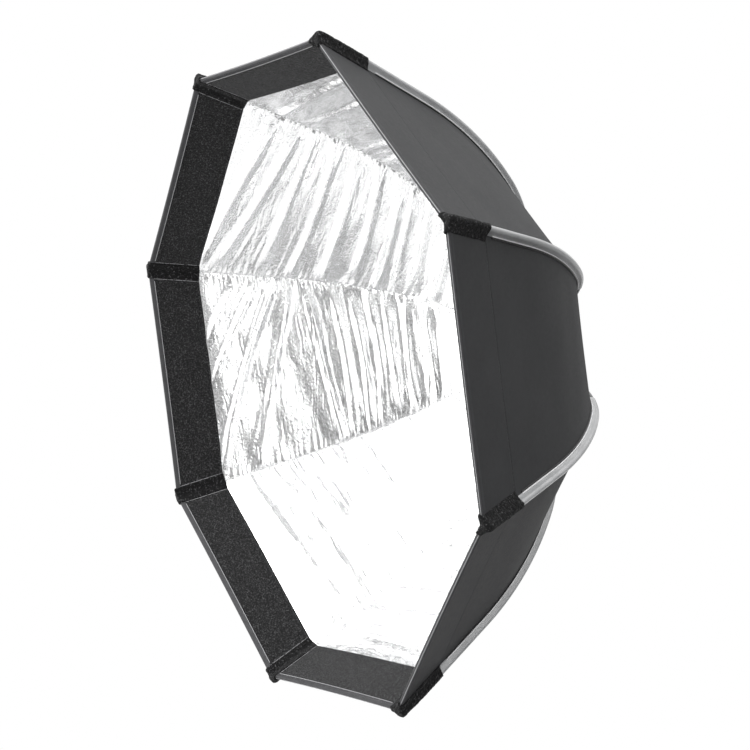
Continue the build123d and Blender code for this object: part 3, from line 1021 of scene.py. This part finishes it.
def tunnel_stitches(rib):
    """A row of stitches along each flank of a tunnel."""
    stations = tunnel_stations[8:-2]
    return side_stitches(
        lambda side: rib_point(rib, stations, side * 0.00302, 0.0033),
        lambda side: rib_point(rib, stations, side * 0.00402, 0.0034),
        pitch=0.0030, length=0.0020, width=0.0005, height=0.0002,
    )


def lining_seam(rib):
    """The silver overlock stitches along the lining's seam, on both sides of a rib."""
    stations = np.linspace(band_width + 0.003, root_s - 0.006, 150)
    depth = tape_lift - seam_relief(rib, stations)
    return side_stitches(
        lambda side: beside_tunnel(rib, side, 0.0016, depth, stations),
        lambda side: beside_tunnel(rib, side, 0.0016, depth - 0.001, stations),
        pitch=0.0042, length=0.0030, width=0.0011, height=0.0007,
    )


def edge_highlight_cords(rib):
    """Light grey cords along the binding's edges, and along the pocket where it crosses the tape: painted
    highlights on these edges.
    """
    across = np.linspace(0, 1, 60)
    face = -rim_layers - 0.0004
    parts = []
    for s, lift, first in ((0.0038, face, 0.085), (-0.0014, -rim_layers / 2 + 0.0006, 0.0)):
        for panel, v in half_panels(rib, across[across >= first]):
            parts.append(tube(panel_point(panel, s, v, lift), 0.00034))
    stations = np.linspace(0.004, pocket_inner_length - 0.001, 40)
    for side in (-1, 1):
        path = beside_tunnel(rib, side, pocket_half + 0.0002, -rim_layers - 0.0002, stations)
        parts.append(tube(path, 0.00032))
    return joined(parts)


def bridge(points, ring, hole, flip):
    """Triangles between a closed outer ring of points and a hole inside it."""
    centre = points[hole].mean(0)
    first, quarter = points[hole[0]] - centre, points[hole[len(hole) // 4]] - centre
    axis, first = unit(np.cross(first, quarter)), unit(first)
    second = np.cross(axis, first)

    def turn(index):
        p = points[index] - centre
        return atan2(p @ second, p @ first) % (2 * pi)

    ring, hole = sorted(ring, key=turn), sorted(hole, key=turn)
    # Each loop's first point comes last, one turn on, and ring points go before hole points.
    steps = [(turn(p) + 2 * pi * (p == ring[0]), 0, p) for p in ring]
    steps += [(turn(p) + 2 * pi * (p == hole[0]), 1, p) for p in hole]
    faces, a, b = [], ring[0], hole[0]
    for _, in_hole, p in sorted(steps):
        faces.append([a, p, b])
        a, b = (a, p) if in_hole else (p, b)
    return [f[::-1] for f in faces] if flip else faces


# ---- throat: cloth drawn in to the hub

clamp_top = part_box("hem_clamp_ring")[1]
throat_radius = clamp_top.x - 0.015
flat_radius = 0.0745
throat_thickness = 0.00025


def throat_root(rib, lift):
    """The line beside a rib where the gores end, from the middle of one panel to the next."""
    across = np.linspace(0, 1, 25)
    left, right = (panel_point(panel, root_s - 0.0005, v, lift) for panel, v in half_panels(rib, across))
    return np.concatenate([left[:0:-1], right])


def throat_sheet(name, rib, front_face, material):
    """Part of the funnel between the gores' root and the hub, drawn in under the clamp ring."""
    share = np.linspace(0, 1, 26)[:, None]
    y_hub = clamp_top.y + 0.0002 + (0 if front_face else 0.00045)
    lift = lining_lift - lining_thickness if front_face else -cloth_thickness
    grids = []
    for extra in (0, throat_thickness):
        root = throat_root(rib, lift + extra)
        angle = np.arctan2(root[:, 2], root[:, 0])
        start = np.hypot(root[:, 0], root[:, 2])
        radius = start + (throat_radius - start) * share
        gather = smooth(share, 0.1, 0.5) * 0.00035 * (1 + np.sin(angle * 96)) / 2
        rise = np.clip((radius - flat_radius) / (start - flat_radius), 0, 1) ** 1.15
        y = y_hub + (root[:, 1] - y_hub) * rise
        grids.append(about_axis(radius, y + extra - gather, angle))
    points = np.concatenate(grids).reshape(-1, 3)
    around = np.arctan2(points[:, 2], points[:, 0]) * 0.07
    uv = np.stack([around, np.hypot(points[:, 0], points[:, 2])], -1)
    piece = new_piece(name, points, sheet_faces(*grids[0].shape[:2]), material, uv)
    fix_normals(piece)
    return piece


# ---- making


def panel_stitches(rib):
    """The stitches behind the tape and along the facing's seam."""
    parts = panel_row(rib, band_width - 0.002, -rim_layers, 0.08, 1.0)
    return joined(parts + panel_row(rib, facing_seam + 0.0004, -0.0002, 0.10, 1.0))


def make_rib(rib):
    """Every piece of cloth and thread that moves with a rib."""
    before = (rib - 1) or rib_count
    gores = (f"gore_{before}", f"gore_{rib}")
    bands = (f"loop_band_{before}", f"loop_band_{rib}")
    nylon, silver, grey = "black_nylon", "silver_lining", "grey_webbing"

    def sheet(name, slot, *grid):
        return rib_sheet(f"{name}_{rib}", rib, *grid, looks[slot])

    def sewn(name, mesh, look, slot, keep=1, sharp=40):
        piece = new_piece(f"{name}_{rib}", *mesh, looks[look], sharp=sharp)
        return on_rib(piece, rib, slot, keep=keep)

    cloth = sheet("outer_cloth", nylon, outer_stations, outer_across, outer_relief, outer_back)
    on_rib(cloth, rib, nylon, *gores, keep=cloth_keep)
    lining = sheet("lining", silver, lining_stations, lining_across, lining_back, lining_face)
    on_rib(lining, rib, silver, *gores, keep=lining_keep)
    tape = on_rib(loop_tape(rib), rib, "black_loop", *bands, keep=lining_keep)
    edge = on_rib(binding(rib), rib, nylon, *gores, keep=cloth_keep)
    pile = on_rib(corner_pile(rib), rib, "black_pile", f"corner_pocket_{rib}")
    sleeve = on_rib(tunnel(rib), rib, grey, f"rib_sleeve_{rib}")
    # A near-white cord along each tunnel's foot, made brighter than the tape so that it reads light in the
    # tunnel's shade: piping with a painted highlight.
    piping_painted_highlight = sewn("tunnel_piping_highlight", foot_cords(rib, 0.0038, 0.0012, 0.00060), "piping_painted_highlight", grey)
    # A near-black cord beside each tunnel's foot: the seam's edge, made blacker than the nylon as a painted
    # shadow line next to the piping.
    seam_shadow = sewn("tunnel_seam_shadow", foot_cords(rib, 0.0050, 0.0004, 0.00065), "seam_painted_shadow", nylon)
    rows = sewn("tunnel_stitching", tunnel_stitches(rib), "grey_thread", grey, sharp=80)
    overlock = sewn("lining_seam", lining_seam(rib), "silver_thread", silver, lining_keep, 80)
    # Painted highlights: light grey cords along the binding's and the pockets' edges.
    edge_highlights = sewn("rim_highlight_cord", edge_highlight_cords(rib), "edge_highlight_cord", grey, cloth_keep)
    stitches = sewn("panel_stitching", panel_stitches(rib), "dark_thread", nylon, cloth_keep, 80)
    for number, (first, last, keep) in enumerate(tuck_strips, 1):
        on_rib(make_tuck(rib, number, first, last), rib, nylon, *gores, keep=keep)


def make_throat(rib):
    """The two sheets beside a rib that reach in from the gores' root to the hub."""
    angle = rib_angle(rib)
    kinds = (("throat_lining", True, "silver_lining"), ("throat_cloth", False, "black_nylon"))
    for name, front_face, slot in kinds:
        piece = throat_sheet(f"{name}_{rib}", rib, front_face, looks[slot])
        tuple(about_axis(0.066, 0.0, angle))
        tuple(about_axis(0.0785, 0.0, angle))
        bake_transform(piece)
        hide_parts("inner_hem")


for rib in ribs:
    make_rib(rib)
    make_throat(rib)


# ---- camera, light and floor


def add_camera():
    """A nearly level view, 60 degrees round from the front and a little tilted."""
    azimuth, elevation, roll = radians(60.07), radians(2.974), radians(-6.944)
    distance, lens, sensor = 1.811, 92.366, 36
    aside, above = -0.07663, -0.004056  # of the middle of the view from the rim's centre
    turn = Matrix.Rotation(azimuth, 4, "Z") @ Matrix.Rotation(pi / 2 - elevation, 4, "X")
    turn = turn @ Matrix.Rotation(roll, 4, "Z")
    data = bpy.data.cameras.new("camera")
    data.sensor_width = sensor
    data.lens = lens
    data.clip_end = 50
    camera = placed("camera", data)
    from_centre = Matrix.Translation((-aside, -above, distance))
    camera.matrix_world = Matrix.Translation((0, rim_y, 0)) @ turn @ from_centre
    bpy.context.scene.camera = camera


def add_light(name, place, target, size, power):
    """A square lamp that faces a target."""
    data = bpy.data.lights.new(name, "AREA")
    data.shape = "RECTANGLE"
    data.size = data.size_y = size
    data.energy = power
    light = placed(name, data)
    light.location = place
    light.rotation_euler = (Vector(target) - Vector(place)).to_track_quat("-Z", "Y").to_euler()


def add_floor():
    """A plain pale floor, well below the part."""
    data = bpy.data.meshes.new("floor")
    count, radius, forward, depth = 96, 1.0, 0.9, -0.95
    turns = [2 * pi * i / count for i in range(count)]
    ring = [(radius * cos(a), radius * sin(a) - forward, depth) for a in turns]
    data.from_pydata(ring, [], [list(range(count))])
    look = Look("floor", (0.62, 0.62, 0.62), 0.9)
    look.color(look.ramp(look.noise(0.4, 2), (0.3, 0.61), (0.7, 0.63)))
    data.materials.append(look.material)
    floor = placed("floor", data)


def toward(azimuth, height=0.0):
    """A direction from its azimuth in degrees, round from the front."""
    return (sin(radians(azimuth)), -cos(radians(azimuth)), height)


def cosines(*angles):
    return tuple(cos(radians(angle)) for angle in angles)


# The studio's lamps, and its dark cards with a strength below 0: the direction that each lies in,
# the cosines at which it begins and is full, and its strength.
lamps = [
    ((0, -0.5, 0.87), cosines(52, 34), 1.6),
    (toward(74), cosines(18, 10), 2.4),
    (toward(-28, -0.22), cosines(40, 29), 2.3),
    ((0, 0, 1), (0.1, 0.6), 0.5),
    ((0, 0, -1), (0.0, 0.5), -0.10),
    ((0.5, -0.866, 0.0), cosines(34, 18), -0.27),
    ((0.85, 0.3, 0.45), cosines(55, 25), 0.55),
    ((0.6, 0.35, -0.7), cosines(80, 30), -0.75),
]
room_low, room_high = 0.38, 1.0  # the room's darkest and brightest patches
darkest = 0.03


def add_world():
    """A white backdrop for the camera, and a studio with lamps and cards for the light."""
    world = bpy.data.worlds.new("studio")
    bpy.context.scene.world = world
    world.use_nodes = True
    studio = Nodes(world.node_tree)
    direction = studio.node("ShaderNodeTexCoord").outputs["Generated"]
    clutter = studio.node("ShaderNodeTexNoise", Scale=4.5, Detail=1.5)
    studio.join(direction, clutter.inputs["Vector"])
    total = studio.spread(clutter.outputs["Fac"], room_low, room_high, From_Min=0.42, From_Max=0.58)
    for aim, (begins, full), strength in lamps:
        dot = studio.node("ShaderNodeVectorMath", operation="DOT_PRODUCT")
        studio.join(direction, dot.inputs[0])
        dot.inputs[1].default_value = Vector(aim).normalized()
        reach = {"From_Min": begins, "From_Max": full, "interpolation_type": "SMOOTHSTEP"}
        lit = studio.spread(dot.outputs["Value"], 0, strength, **reach)
        total = studio.maths("ADD", lit, total)
    seen = studio.node("ShaderNodeMix")
    studio.join(studio.node("ShaderNodeLightPath").outputs["Is Camera Ray"], seen.inputs[0])
    studio.join(studio.maths("MAXIMUM", total, darkest), seen.inputs[2])
    seen.inputs[3].default_value = 1.0
    background = studio.tree.nodes["Background"]
    studio.join(seen.outputs[0], background.inputs["Strength"])
    background.inputs["Color"].default_value = (1, 1, 1, 1)


add_camera()
add_world()
add_floor()
add_light("key", (0.2, -1.3, 1.9), (0, rim_y / 2, 0), 0.8, 18)
bpy.context.scene.view_settings.view_transform = "Standard"
